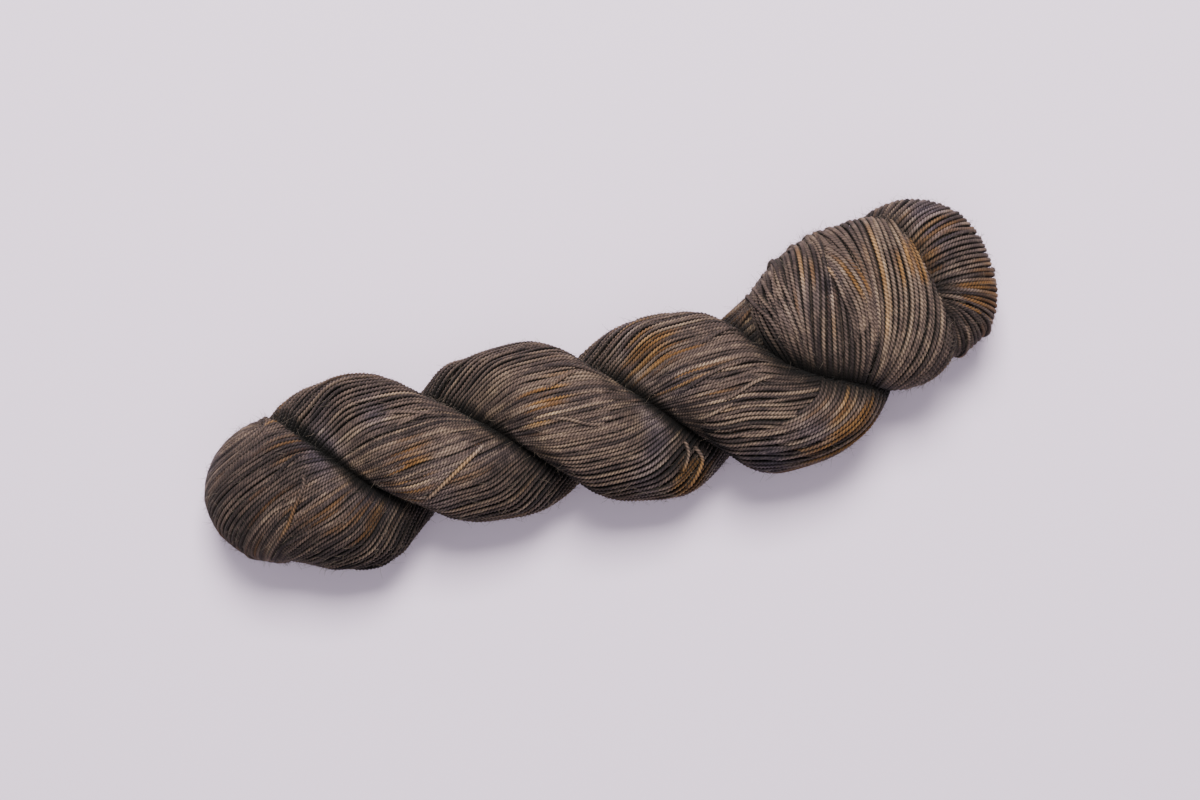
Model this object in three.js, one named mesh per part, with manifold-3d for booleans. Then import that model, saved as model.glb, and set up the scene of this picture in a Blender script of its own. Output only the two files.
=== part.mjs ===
// A twisted hank of yarn, lying on its side.
// The skein is folded in half, so its two legs wind round each other like a two-strand rope.
// At one end the legs turn into each other in a fold. At the other, one leg's end loop goes
// through the other's: the outer loop is the band and the inner loop is the knob.
// Millimetres. X runs along the hank from the fold to the knob, Z is up, and Z = 0 is the surface
// that it rests on. The origin is below the middle of its outline.

import * as THREE from "three";
import { mergeVertices } from "three/addons/utils/BufferGeometryUtils.js";
import Module from "manifold-3d";

// Driving dimensions of the twisted legs.
const FOLD_X = -120; // axis that the yarn turns about at the fold
const STEADY_X = 60; // from here on the winding slows down towards the band
const STEADY_LENGTH = 16;
const HEEL_X = 76; // where the outer leg begins to round off under the band
const HEEL_LENGTH = 29;
const LEG_REACH = 30; // from the hank's axis to the crown of a leg
const GROOVE_SHARPNESS = 7; // higher is a fuller leg and a narrower groove
const QUARTER_TURN = 27.4; // length of hank in which the legs wind a quarter round
const HEIGHT_SHARE = 0.86; // the hank is lower than it is wide
const AXIS_HEIGHT = 22;
const FOLD_REACH = 28; // how far the fold rounds out past its axis

// The hank's axis, from the fold to the knob: its sideways place, how full it is, how far its
// sections lean, in length per width, and the share of the reach that is lost between the legs.
const AXIS_START = -120;
const AXIS_STEP = 30;
const AXIS_ROWS = [
  { side: -1.4, fullness: 0.9, lean: 0.1, groove: 0.08 },
  { side: -2.2, fullness: 1.07, lean: 0.1, groove: 0.34 },
  { side: -2.4, fullness: 0.98, lean: 0.13, groove: 0.4 },
  { side: -3.4, fullness: 1.01, lean: 0.2, groove: 0.4 },
  { side: -6.5, fullness: 1.03, lean: 0.24, groove: 0.4 },
  { side: -8.2, fullness: 1.04, lean: 0.25, groove: 0.4 },
  { side: -9.8, fullness: 1.07, lean: 0.26, groove: 0.38 },
  { side: -9.0, fullness: 1.06, lean: 0.2, groove: 0.3 },
];

// The band, the inner leg's neck inside it, and the knob, each a cushion shape: its middle, its
// reach every 45 degrees from +X towards +Y, its half height and its squareness (2 is round).
const BAND = {
  middle: new THREE.Vector3(91, 10, 24.5),
  reaches: [38, 35, 27.5, 29.5, 36, 31, 31, 42],
  halfHeight: 27,
  squareness: 2.6,
};
const NECK = {
  middle: new THREE.Vector3(71, 7, 22),
  reaches: [20, 20, 18, 21, 21, 15, 15, 18],
  halfHeight: 19,
  squareness: 2.2,
};
const KNOB = {
  middle: new THREE.Vector3(118, 12, 21.5),
  reaches: [27.4, 28.7, 29.4, 29, 27, 29, 29.8, 31],
  halfHeight: 23,
  squareness: 2.3,
};

// Facets.
const LEG_COLUMNS = 22; // round one leg, from groove to groove
const ROW_STEP = 4.5; // along the hank
const FOLD_SEGMENTS = 28;
const CUSHION_SEGMENTS = 32;
const CUSHION_RINGS = 14;
const LAST_RING = 0.99; // share of the heel's length that its last ring of points is at

const wasm = await Module();
wasm.setup();

// A smooth value between evenly spaced ones, which run on past the ends or round in a circle.
function smoothValue(values, place, isCircle) {
  const index = Math.floor(place);
  const t = place - index; // how far on from one value to the next
  const at = (k) => {
    const wrapped = ((k % values.length) + values.length) % values.length;
    return values[isCircle ? wrapped : THREE.MathUtils.clamp(k, 0, values.length - 1)];
  };
  const [before, from, to, after] = [at(index - 1), at(index), at(index + 1), at(index + 2)];
  const bend = 2 * before - 5 * from + 4 * to - after;
  const twist = 3 * (from - to) + after - before;
  return from + 0.5 * t * (to - before + t * (bend + t * twist));
}

function axisValue(column, x) {
  const values = AXIS_ROWS.map((row) => row[column]);
  return smoothValue(values, (x - AXIS_START) / AXIS_STEP, false);
}

// Distance from the hank's axis to a leg's surface, at an angle from that leg's crown.
function legRadius(x, fromCrown) {
  const lost = axisValue("groove", x) * Math.abs(Math.sin(fromCrown)) ** GROOVE_SHARPNESS;
  return LEG_REACH * axisValue("fullness", x) * (1 - lost);
}

// How far round the axis the first leg's crown is.
function windingAngle(x) {
  const past = Math.max(0, x - STEADY_X);
  const slowed = STEADY_LENGTH * (1 - Math.exp(-past / STEADY_LENGTH));
  const wound = Math.min(x, STEADY_X) + slowed - FOLD_X;
  return (wound / QUARTER_TURN - 1) * (Math.PI / 2);
}

// The share of its size that the hank still has where it rounds off under the band.
function heelShare(x) {
  const past = Math.max(0, x - HEEL_X) / HEEL_LENGTH;
  return Math.sqrt(Math.max(0, 1 - past * past));
}

// One ring of points round both legs.
function legRing(x) {
  const side = axisValue("side", x);
  const lean = axisValue("lean", x);
  const ring = [];
  for (let column = 0; column < 2 * LEG_COLUMNS; column++) {
    const round = (column / LEG_COLUMNS) * Math.PI;
    const fromCrown = (round % Math.PI) - Math.PI / 2;
    const angle = windingAngle(x) + round - Math.PI / 2;
    const radius = heelShare(x) * legRadius(x, fromCrown);
    const across = radius * Math.cos(angle);
    const up = radius * Math.sin(angle);
    ring.push(new THREE.Vector3(x + lean * across, side + across, AXIS_HEIGHT + HEIGHT_SHARE * up));
  }
  return ring;
}

// A closed skin over rings of equally many points, with a point at each end.
function skin(rings, startPoint, endPoint) {
  const count = rings[0].length;
  const points = [startPoint, ...rings.flat(), endPoint];
  const last = points.length - 1;
  const triangles = [];
  const at = (ring, k) => 1 + ring * count + (k % count);
  for (let k = 0; k < count; k++) {
    triangles.push(0, at(0, k + 1), at(0, k));
    triangles.push(last, at(rings.length - 1, k), at(rings.length - 1, k + 1));
  }
  for (let ring = 0; ring < rings.length - 1; ring++) {
    for (let k = 0; k < count; k++) {
      const [a, b] = [at(ring, k), at(ring, k + 1)];
      const [c, d] = [at(ring + 1, k), at(ring + 1, k + 1)];
      triangles.push(a, b, c);
      triangles.push(b, d, c);
    }
  }
  const geometry = new THREE.BufferGeometry().setFromPoints(points);
  geometry.setIndex(triangles);
  return geometry;
}

// Both legs, from the fold's axis to the heel.
function twistedLegs() {
  const end = HEEL_X + LAST_RING * HEEL_LENGTH;
  const steps = Math.round((end - FOLD_X) / ROW_STEP);
  const rings = [];
  for (let step = 0; step <= steps; step++) {
    rings.push(legRing(THREE.MathUtils.lerp(FOLD_X, end, step / steps)));
  }
  const middle = (x) => new THREE.Vector3(x, axisValue("side", x), AXIS_HEIGHT);
  return skin(rings, middle(FOLD_X), middle(HEEL_X + HEEL_LENGTH));
}

// The turn of one leg into the other: the leg's section swung round a level axis across the hank.
function fold() {
  const side = axisValue("side", FOLD_X);
  const lean = axisValue("lean", FOLD_X);
  const rings = [];
  for (let k = 1; k < LEG_COLUMNS; k++) {
    const fromCrown = (k / LEG_COLUMNS - 0.5) * Math.PI;
    const radius = legRadius(FOLD_X, fromCrown);
    const across = radius * Math.sin(fromCrown);
    const out = radius * Math.cos(fromCrown);
    const ring = [];
    for (let segment = 0; segment < FOLD_SEGMENTS; segment++) {
      const turn = (segment / FOLD_SEGMENTS) * 2 * Math.PI;
      const along = (out * Math.sin(turn) * FOLD_REACH) / LEG_REACH;
      const up = out * Math.cos(turn) * HEIGHT_SHARE;
      ring.push(new THREE.Vector3(FOLD_X + lean * across + along, side + across, AXIS_HEIGHT + up));
    }
    rings.push(ring);
  }
  const pole = (sign) => {
    const across = sign * legRadius(FOLD_X, Math.PI / 2);
    return new THREE.Vector3(FOLD_X + lean * across, side + across, AXIS_HEIGHT);
  };
  return skin(rings, pole(-1), pole(1));
}

// A cushion shape with an uneven round outline.
function cushion({ middle, reaches, halfHeight, squareness }) {
  const power = 2 / squareness;
  const rings = [];
  for (let k = 1; k < CUSHION_RINGS; k++) {
    const rise = (k / CUSHION_RINGS - 0.5) * Math.PI;
    const share = Math.cos(rise) ** power;
    const up = halfHeight * Math.sign(rise) * Math.abs(Math.sin(rise)) ** power;
    const ring = [];
    for (let segment = 0; segment < CUSHION_SEGMENTS; segment++) {
      const turn = segment / CUSHION_SEGMENTS;
      const reach = share * smoothValue(reaches, turn * reaches.length, true);
      const angle = turn * 2 * Math.PI;
      ring.push(new THREE.Vector3(reach * Math.cos(angle), reach * Math.sin(angle), up).add(middle));
    }
    rings.push(ring);
  }
  const below = new THREE.Vector3(0, 0, -halfHeight).add(middle);
  const above = new THREE.Vector3(0, 0, halfHeight).add(middle);
  return skin(rings, below, above);
}

// A slab below the surface that the hank rests on, larger than the hank each way.
function belowTheSurface() {
  const width = 400;
  const depth = 20;
  const box = new THREE.BoxGeometry(width, width, depth);
  box.translate(0, 0, -depth / 2);
  return box;
}

function toManifold(geometry) {
  geometry.deleteAttribute("normal");
  geometry.deleteAttribute("uv");
  const merged = mergeVertices(geometry);
  return new wasm.Manifold(
    new wasm.Mesh({
      numProp: 3,
      vertProperties: merged.attributes.position.array,
      triVerts: new Uint32Array(merged.index.array),
    })
  );
}

function toGeometry(solid) {
  const { vertProperties, triVerts } = solid.getMesh();
  const geometry = new THREE.BufferGeometry();
  geometry.setAttribute("position", new THREE.BufferAttribute(vertProperties, 3));
  geometry.setIndex(new THREE.BufferAttribute(triVerts, 1));
  geometry.computeVertexNormals();
  return geometry;
}

// The whole hank as one solid, with flats where it touches the surface.
function yarnHank() {
  const solid = [fold(), cushion(BAND), cushion(NECK), cushion(KNOB)]
    .map(toManifold)
    .reduce((joined, piece) => joined.add(piece), toManifold(twistedLegs()))
    .subtract(toManifold(belowTheSurface()));
  const yarn = new THREE.MeshStandardMaterial({ color: 0x6b5f55, roughness: 0.9, metalness: 0 });
  const mesh = new THREE.Mesh(toGeometry(solid), yarn);
  mesh.name = "yarn_hank";
  return mesh;
}

const hank = new THREE.Group();
hank.add(yarnHank());

export default hank;
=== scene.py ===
"""Looks for a twisted hank of hand-dyed yarn, lying on a pale floor and seen from straight above.

The hank's solid is replaced by the yarn itself: every strand that shows is a tube of three twisted
plies that follows the solid's surface, over a layer of plainer strands and a dark core. Lengths are
in millimetres up to the meshes, which are in metres. X runs along the hank from the fold to the
knob, and Z is up. "In plan" is as seen from above, and plan points are pairs of X and Y.
"""

import math
from collections import namedtuple

import bpy
import numpy as np
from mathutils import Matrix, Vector
from mathutils.bvhtree import BVHTree
from mathutils.kdtree import KDTree


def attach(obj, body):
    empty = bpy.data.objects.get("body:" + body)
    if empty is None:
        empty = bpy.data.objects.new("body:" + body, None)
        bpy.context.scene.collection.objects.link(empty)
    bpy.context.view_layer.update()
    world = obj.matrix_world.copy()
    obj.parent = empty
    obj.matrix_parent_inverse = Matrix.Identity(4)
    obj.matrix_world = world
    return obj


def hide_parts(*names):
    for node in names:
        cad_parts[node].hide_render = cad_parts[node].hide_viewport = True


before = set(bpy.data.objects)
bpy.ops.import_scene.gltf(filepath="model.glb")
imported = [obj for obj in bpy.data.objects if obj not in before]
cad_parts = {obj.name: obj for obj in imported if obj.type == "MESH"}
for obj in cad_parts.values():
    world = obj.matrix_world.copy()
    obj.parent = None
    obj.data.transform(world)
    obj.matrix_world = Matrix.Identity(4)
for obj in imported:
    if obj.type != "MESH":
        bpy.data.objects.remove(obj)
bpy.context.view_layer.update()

MM = 0.001
HANK_NODE = "yarn_hank"
BODY = "root"
SEED = 7
TINY = 1e-9  # keeps a direction's length from being nothing

# The wound form, as the solid has it.
FOLD_X = -120.0  # axis that the yarn turns about at the fold
STEADY_X = 60.0  # from here on the winding slows down towards the band
STEADY_LENGTH = 16.0
HEEL_X = 76.0  # where the outer leg begins to round off under the band
HEEL_LENGTH = 29.0
LEG_REACH = 30.0
GROOVE_SHARPNESS = 5  # a little rounder than the solid, as the outer strands lie
QUARTER_TURN = 27.4
HEIGHT_SHARE = 0.86
AXIS_HEIGHT = 22.0
FOLD_REACH = 28.0
AXIS_START = -120.0
AXIS_STEP = 30.0
AXIS_ROWS = {
    "side": [-1.4, -2.2, -2.4, -3.4, -6.5, -8.2, -9.8, -9.0],
    "fullness": [0.9, 1.07, 0.98, 1.01, 1.03, 1.04, 1.07, 1.06],
    "lean": [0.1, 0.1, 0.13, 0.2, 0.24, 0.25, 0.26, 0.2],
    "groove": [0.08, 0.34, 0.4, 0.4, 0.4, 0.4, 0.38, 0.3],
}
BAND = {
    "middle": (91.0, 10.0, 24.5),
    "reaches": [38, 35, 27.5, 29.5, 36, 31, 31, 42],
    "half_height": 27.0,
    "squareness": 2.6,
}
KNOB = {
    "middle": (118.0, 12.0, 21.5),
    "reaches": [27.4, 28.7, 29.4, 29, 27, 29, 29.8, 31],
    "half_height": 23.0,
    "squareness": 2.3,
}
REACH_STEP = 45.0  # degrees from one of a cushion's reaches to the next
OUTLINE_LEVEL = 1.02  # a cushion's level is 1 on its skin

# The inner leg's neck: a short bundle that rises from between the legs to under the band.
NECK_START = np.array([36.0, -5.5, 21.0])
NECK_STOP = np.array([80.0, 17.0, 23.0])
NECK_WIDTH = 14.2  # half of it
NECK_HEIGHT = 18.0  # half of it
NECK_SIDE = math.radians(125)  # how far round it strands lie, from its top
NECK_SHARE = 1.4  # length round it that they fill, for pi times its half height

# Where the strands stand out further than the solid, or less far: a place, how far round it, and
# how much.
SWELLS = [
    (-108.0, 25.0, 24.0, 15.0, 3.6),
    (-92.0, 27.0, 27.0, 20.0, 2.2),
    (-109.0, -31.0, 18.0, 32.0, 4.0),
    (-145.0, 2.0, 18.0, 26.0, 1.3),
    (20.0, -38.0, 18.0, 26.0, 2.2),
    (-56.0, 25.0, 22.0, 14.0, 3.2),
    (-141.0, -17.0, 18.0, 20.0, -1.2),
    (-86.0, -36.0, 18.0, 17.0, 2.2),
]

# One strand of the yarn.
PLIES = 3
SIDES = 2 * PLIES
STRAND_SPACING = 1.75
STRAND_RADIUS = 0.92  # to the crests of the plies
STRAND_SIZES = (0.93, 1.07)  # thinnest and thickest, as shares of that
VALLEY_SHARE = 0.6  # of the radius, between the plies
RING_STEP = 0.66  # along a strand, and each ring is turned by one side
HIDDEN_STEP = 1.5  # the same on the underside
HIDDEN_FACING = -0.3  # where the way out points further down, that begins
FINE_STEP = 0.2
SHORTEST_RUN = 4.0
SAMPLES = 170  # points along a strand before it is evened out

# How deep strands lie.
STRAND_DEPTH = 0.7  # of a strand's middle below the solid's surface
UNDER_DEPTH = 1.4  # how much deeper the strands of the layer below lie
UNDER_RADIUS = 0.85
UNDER_STEP = 1.8
UNDER_APART = 5.0  # the layer below is left out between strands that are further apart
UNDER_FACING = -0.7  # and where the way out points further down
FLOOR_GAP = 0.02
CORE_DEPTH = 3.0
GROOVE_CORE_DEPTH = 5.0  # how much deeper the core is in the groove between the legs
SINK = 2.0  # how much deeper a strand goes where it dives under its neighbours
SUNK_SHARE = 0.93  # of that, from which on a strand isn't made
LEAST_SPACING = 0.85  # strands that bunch closer than this lie over each other
BUNCHED_SHARE = 0.35  # and this share of it closer, they do so fully
ROOM_SPREAD = (0.88, 1.12)  # how unevenly they judge that
MOST_HALVINGS = 7
HIDDEN_DEPTH = 3.4  # past this depth inside the solid a strand isn't made
GROOVE_HIDDEN_DEPTH = 7.0  # the same for the legs up to the neck, whose grooves can be seen into
NECK_X = 60.0

# Painted light and shade, as shares of the strand's colour: a painted highlight on the crests of the
# plies, and painted shade between the plies, at a strand's sides, deep in the grooves, where a strand
# sinks or goes under others, where other yarn shuts out the light, and on the band and the legs where
# they lie against each other.
CREST_LIGHT = 1.5
VALLEY_LIGHT = 0.42
SIDE_LIGHT = 0.04
SIDE_FACING = 0.28  # share that a side faces out, up to which it gets only that
SIDE_FACING_SPAN = 0.62  # and over which the light grows from there
GROOVE_LIGHT = 0.2
SUNK_LIGHT = 0.4
UNDER_LIGHT = 0.05
UNDER_FROM = 2.0  # depth inside the solid that counts as under others
UNDER_REACH = 13.0
NEAR_LIGHT = 0.05  # on the band where it lies against the legs
NEAR_REACH = 9.0
BESIDE_LIGHT = 0.06  # on strands of the legs that lie against the band
BESIDE_REACH = 0.32  # share of the band's size
SHUT_LIGHT = 0.06
OPEN_POWER = 1.2

# Ways out from the skin that are tried for yarn in the way: shares out and to two sides.
RAY_START = 2.2  # how far outside a strand's middle the tries start
RAY_LENGTH = 18.0
RAY_WAYS = [
    (math.sin(rise), math.cos(rise) * math.cos(turn), math.cos(rise) * math.sin(turn))
    for rise, offset in ((math.radians(20), 0.0), (math.radians(42), 0.33), (math.radians(66), 0.67))
    for turn in [2 * math.pi * (k + offset) / 5 for k in range(5)]
]

# How the strands of a leg run: all but straight along the hank, and fanned out near the fold.
# Each has a label, which is its angle round the hank's axis at the fold.
STRAND_DRIFT = math.radians(0.14)  # round the axis, for each millimetre
FAN_START = 0.7  # how fast strands sweep sideways as they near the fold
FAN_GROWTH = 0.35  # and how much faster at its far end
FAN_SPREAD = 0.9  # how much they spread from its poles
FAN_LENGTH = 20.0
HEEL_BEND = math.radians(18)  # how far strands turn down round the leg just before the band
HEEL_BEND_X = 46.0
HEEL_BEND_LENGTH = 36.0
BENT = 0.1  # radians of that bend from which on strands don't plunge into the groove they leave
GROOVE_START = math.radians(74)  # from the crown, where it begins to get dark
GROOVE_SHUT = math.radians(89)
GROOVE_END = math.radians(93)  # where strands end
PLUNGE_START = math.radians(74)
PLUNGE = 4.2  # how deep they go there
FOLD_POLE = math.radians(87.5)
FOLD_ROLL = math.radians(20)  # how far above level the far pole is
FOLD_STRETCH = 1.9  # how much further round the fold a strand may go than it turns
POLE_START = math.radians(68)  # across the fold, where strands begin to dive in at a pole
POLE_LENGTH = math.radians(20)
POLE_SINK = 0.8
POLE_SHADE = 0.7
ACROSS_LIMIT = 1.65
FIRST_LABEL = math.radians(1)
LABEL_STEP = math.radians(3.2)  # from strand to strand
FOLD_LABEL_STEP = math.radians(3.5)  # the same for strands that go round the fold
FOLD_LABELS = math.radians(185)  # where those end, and the length of label over which they do
FOLD_LABELS_LENGTH = math.radians(30)
LABEL_END = math.radians(150)  # past the crown's angle at the heel
LEG_END = HEEL_X + 0.985 * HEEL_LENGTH
X_TABLE = np.linspace(FOLD_X, LEG_END, 900)
TURN_TABLE = np.linspace(0, math.pi, 240)

# How uneven strands are, sideways and in height, and how others cross them: how many do, as a
# share, how far they go sideways and how high over them. A leg's are angles on the left.
LEG_WANDER = 0.17 * LABEL_STEP
LEG_UNEVEN = 0.14
LEG_CROSSINGS = (0.06, 3.2 * LABEL_STEP, 0.8)
CUSHION_WANDER = 0.28
CUSHION_UNEVEN = 0.15
CUSHION_CROSSING = (5.0, 1.0)  # without their share, which is next
BAND_CROSSINGS = 0.14
KNOB_CROSSINGS = 0.04
NECK_CROSSINGS = 0.1
CROSSING_STARTS = (0.1, 0.5)  # shares of a strand
CROSSING_LENGTHS = (0.25, 0.5)
CROSSING_END = 0.04  # at both ends a crossing strand goes under its neighbours
CROSSING_SINK = 1.0

# The strands of the band, from left to right: where they go over its far edge, two places that
# draw them sideways on top, and where they go over its near edge. Turns are in degrees.
BAND_SIZE = 1.1  # its strands are a little looser than the legs'
BAND_SPACED_AT = [0.1, 0.2, 0.3, 0.5, 0.7, 0.8, 0.9]  # shares of a strand where that is measured
BAND_ROWS = {
    "far_turn": [157, 146, 132, 116, 103, 98, 84, 69, 59, 50, 43, 35, 27, 19, 10, -5],
    "upper_x": [55, 60, 69, 76, 88, 92, 99, 102, 107, 116, 124, 129, 132, 135, 138, 138],
    "upper_y": [15, 17, 18, 20, 21, 22, 24, 26, 24, 22, 16, 10, 5, 0, -5, -5],
    "lower_x": [58, 66, 70, 72, 77, 96, 101, 106, 112, 120, 126, 131, 134, 136, 138, 138],
    "lower_y": [3, 3, 2, 2, 2, 0, 0, 0, -1, -5, -15, -21, -23, -21, -17, -10],
    "near_turn": [222, 225, 229, 235, 243, 261, 265, 268, 271, 276, 286, 294, 303, 313, 323, 338],
}
# The strands of the knob, from the far side to the near side: where they come out from under the
# band, a place that draws them sideways, and where they go over the edge.
KNOB_SIZE = 1.04
KNOB_SPACED_AT = [0.6, 0.97]
KNOB_ROWS = {
    "start_x": [90, 97, 102, 106, 108, 111, 110, 111, 112, 113, 115, 118, 119, 121, 123, 124]
    + [121, 114, 106],
    "start_y": [28, 31, 31, 30, 23, 15, 14, 9, 8, 8, 6, 5, 3, 0, -4, -8, -11, -12, -9],
    "bend_x": [91, 98, 105, 111, 118, 123, 127, 127, 130, 131, 131, 131, 128, 126, 122, 119]
    + [113, 106, 99],
    "bend_y": [33, 36, 38, 38, 37, 31, 26, 17, 9, 6, 2, -1, -3, -6, -9, -12, -15, -15, -11],
    "end_turn": [146, 128, 110, 92, 57, 37, 21, 5, -13, -25, -43, -62, -73, -81, -92, -104]
    + [-118, -132, -148],
}

# Single strands that lie across the others, in plan, and the tone of each.
STRAYS = [
    [(-107.5, 1), (-108, -3), (-113.5, -10), (-118, -15.5), (-125.5, -21.5), (-129.5, -25.5)],
    [(-44, -5), (-56.5, -12), (-69, -19)],
    [(24, -22), (23.5, -26.5), (20, -32)],
    [(27, -25), (27.5, -30), (20.5, -37.5)],
]
STRAY_TONES = [0.95, 1.1, 0.45, 0.45]
# Bundles of strands that lie across the others: the ways of the first and the last strand in plan,
# how many strands there are, and whether they come out from under the band.
BUNDLES = [
    (
        [(87, 33), (92, 28), (96, 20), (98, 12), (97, 2)],
        [(86, 25.5), (88, 19), (89, 12), (90, 4), (89, -4)],
        7,
        False,
    ),
    (
        [(58, 23), (60, 17.5), (63, 12), (65, 5.5)],
        [(71, 31), (70.5, 23), (71.5, 13.5), (72.5, 3)],
        5,
        False,
    ),
    (
        [(76, -12.5), (73, -18), (67, -21.5), (58, -23.5), (48, -23), (38, -20.5)],
        [(97, -23), (93.5, -28.5), (86, -34.5), (75, -38.5), (63, -40), (50, -39.5)],
        16,
        True,
    ),
]
SPREAD_STEP = 0.618  # a share of the golden section's size, whose steps spread values evenly
BUNDLE_TONES = (0.3, 0.95)
BUNDLE_REACHES = (0.5, 1.0)  # shares of their way that strands from under the band go
OVER_SIZE = 1.08
OVER_LIFT = 1.0
OVER_SINK = 1.3  # at both ends
OVER_SAMPLES = 80
OVER_END = 6  # samples over which an end sinks in
ABOVE = 200.0  # a height that is clear of the hank

# Loose fibres.
HAIR_TRIES = 16000
TOP_THINNING = 0.6  # share that is left out on top
HAIR_DARKEST = 0.35  # light below which there are none
HAIR_LOWEST = -0.45  # nor where the way out points further down
HAIR_RINGS = 3
HAIR_RADIUS = 0.05
HAIR_LENGTHS = (1.3, 4.0)
HAIR_LEAN = 1.1  # radians that it starts to either side of straight out, at most
HAIR_AHEAD = (0.3, 1.2)  # shares of its way along the strand, out of it, and across it
HAIR_OUT = (0.15, 0.8)
HAIR_ACROSS = 0.3
HAIR_CURL = 0.45
HAIR_RETURN = 0.25  # how much of its curl is back to the strand
HAIR_BEND = 0.6
HAIR_TAPER = 0.6  # share of its width that it loses
HAIR_ROOT = 0.7  # of the strand's radius

rng = np.random.default_rng(SEED)

# Strands, one to a row: the points along each, the ways out from the skin, which points are kept
# and how much light they get. The last few of them cross the others, and extra is how many.
Family = namedtuple("Family", "points outs keep light extra")


def smooth_value(values, place, circle=False):
    """A smooth value between evenly spaced ones, as the solid's source has it."""
    values = np.asarray(values, float)
    place = np.asarray(place, float)
    index = np.floor(place).astype(int)
    t = place - index
    if values.ndim > 1:
        t = t[..., None]

    def at(k):
        return values[k % len(values)] if circle else values[np.clip(k, 0, len(values) - 1)]

    before, start, stop, after = at(index - 1), at(index), at(index + 1), at(index + 2)
    bend = 2 * before - 5 * start + 4 * stop - after
    twist = 3 * (start - stop) + after - before
    return start + 0.5 * t * (stop - before + t * (bend + t * twist))


def smooth_step(value):
    value = np.clip(value, 0, 1)
    return value * value * (3 - 2 * value)


def unit(vectors):
    return vectors / (np.linalg.norm(vectors, axis=-1, keepdims=True) + TINY)


def run_of(points):
    """How far along a strand each of its points is."""
    return np.concatenate([[0], np.cumsum(np.linalg.norm(np.diff(points, axis=0), axis=1))])


def swelled(points, outs):
    """Points moved outwards near the swells."""
    moved = np.array(points, float)
    for x, y, z, reach, rise in SWELLS:
        away = np.linalg.norm(points - np.array([x, y, z]), axis=-1)
        moved += outs * (rise * smooth_step(1 - away / reach))[..., None]
    return moved


# The legs and the fold.
def axis_value(column, x):
    return smooth_value(AXIS_ROWS[column], (np.asarray(x) - AXIS_START) / AXIS_STEP)


def winding(x):
    """How far round the axis the first leg's crown is."""
    past = np.maximum(0, x - STEADY_X)
    slowed = STEADY_LENGTH * (1 - np.exp(-past / STEADY_LENGTH))
    wound = np.minimum(x, STEADY_X) + slowed - FOLD_X
    return (wound / QUARTER_TURN - 1) * (math.pi / 2)


def heel_share(x):
    past = np.maximum(0, x - HEEL_X) / HEEL_LENGTH
    return np.sqrt(np.maximum(0, 1 - past * past))


def leg_radius(x, from_crown):
    lost = axis_value("groove", x) * np.abs(np.sin(from_crown)) ** GROOVE_SHARPNESS
    return LEG_REACH * axis_value("fullness", x) * (1 - lost)


def leg_point(x, angle, leg, depth):
    """A point below a leg's surface, and the way out of the leg there."""
    from_crown = angle - winding(x) - leg * math.pi
    radius = heel_share(x) * leg_radius(x, from_crown) - depth
    across = radius * np.cos(angle)
    along = x + axis_value("lean", x) * across
    up = AXIS_HEIGHT + HEIGHT_SHARE * (radius * np.sin(angle))
    point = np.stack([along, axis_value("side", x) + across, up], -1)
    out = np.stack([np.zeros_like(angle), np.cos(angle), np.sin(angle)], -1)
    return point, out


def fold_point(across, turn, is_upper, depth):
    """A point below the fold's surface, and the way out of the fold there.

    It is given by its place between poles that are rolled over, and by the turn round them, which
    is 0 on top and grows towards the far end.
    """
    half = np.where(is_upper, 1.0, -1.0)
    side = half * np.sin(across)
    up = half * np.cos(across) * np.cos(turn)
    level_side = side * math.cos(FOLD_ROLL) - up * math.sin(FOLD_ROLL)
    level_up = side * math.sin(FOLD_ROLL) + up * math.cos(FOLD_ROLL)
    from_crown = np.arcsin(np.clip(level_side, -1, 1))
    level_turn = np.arctan2(np.cos(across) * np.sin(turn), level_up)
    level = np.cos(from_crown)
    out = np.stack([-level * np.sin(level_turn), np.sin(from_crown), level * np.cos(level_turn)], -1)
    radius = leg_radius(FOLD_X, from_crown) - depth
    aside = radius * np.sin(from_crown)
    away = radius * level
    beyond = away * np.sin(level_turn) * FOLD_REACH / LEG_REACH
    along = FOLD_X + axis_value("lean", FOLD_X) * aside - beyond
    up = AXIS_HEIGHT + away * np.cos(level_turn) * HEIGHT_SHARE
    return np.stack([along, axis_value("side", FOLD_X) + aside, up], -1), out


def leg_paths(labels):
    """Each strand's angle at every x, with its label as its angle at the fold.

    Angles are round the hank's axis, from the second leg's side, so that they serve both legs.
    """
    to_side = math.pi / 2 - (labels - FOLD_ROLL)
    angles = [labels]
    for x, step in zip(X_TABLE[:-1], np.diff(X_TABLE)):
        fan = math.exp(-(x - FOLD_X) / FAN_LENGTH) / FOLD_REACH
        sweep = FAN_START - 0.5 * FAN_SPREAD * np.sin(2 * to_side)
        to_side = to_side + step * (STRAND_DRIFT + fan * sweep)
        angles.append(math.pi / 2 - to_side + FOLD_ROLL)
    return np.stack(angles, 1)


def fold_paths(labels):
    """Each strand's place across the rolled fold, at every turn round it."""
    across = math.pi / 2 - labels
    places = [across]
    for turn, step in zip(TURN_TABLE[:-1], np.diff(TURN_TABLE)):
        spread = 0.5 * FAN_SPREAD * math.cos(turn) * np.sin(2 * across)
        sweep = FAN_START + FAN_GROWTH * math.sin(turn) - spread
        across = np.clip(across - step * sweep, -ACROSS_LIMIT, ACROSS_LIMIT)
        places.append(across)
    return np.stack(places, 1)


def wander(count, reach, waves=3):
    """Slow uneven offsets along each of several strands."""
    t = np.linspace(0, 1, SAMPLES)[None, :, None]
    waves_along = rng.uniform(0.3, 2.6, (count, 1, waves))
    phase = rng.uniform(0, 2 * math.pi, (count, 1, waves))
    share = rng.normal(0, 1, (count, 1, waves)) / math.sqrt(waves)
    return reach * (share * np.sin(2 * math.pi * waves_along * t + phase)).sum(-1)


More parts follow.
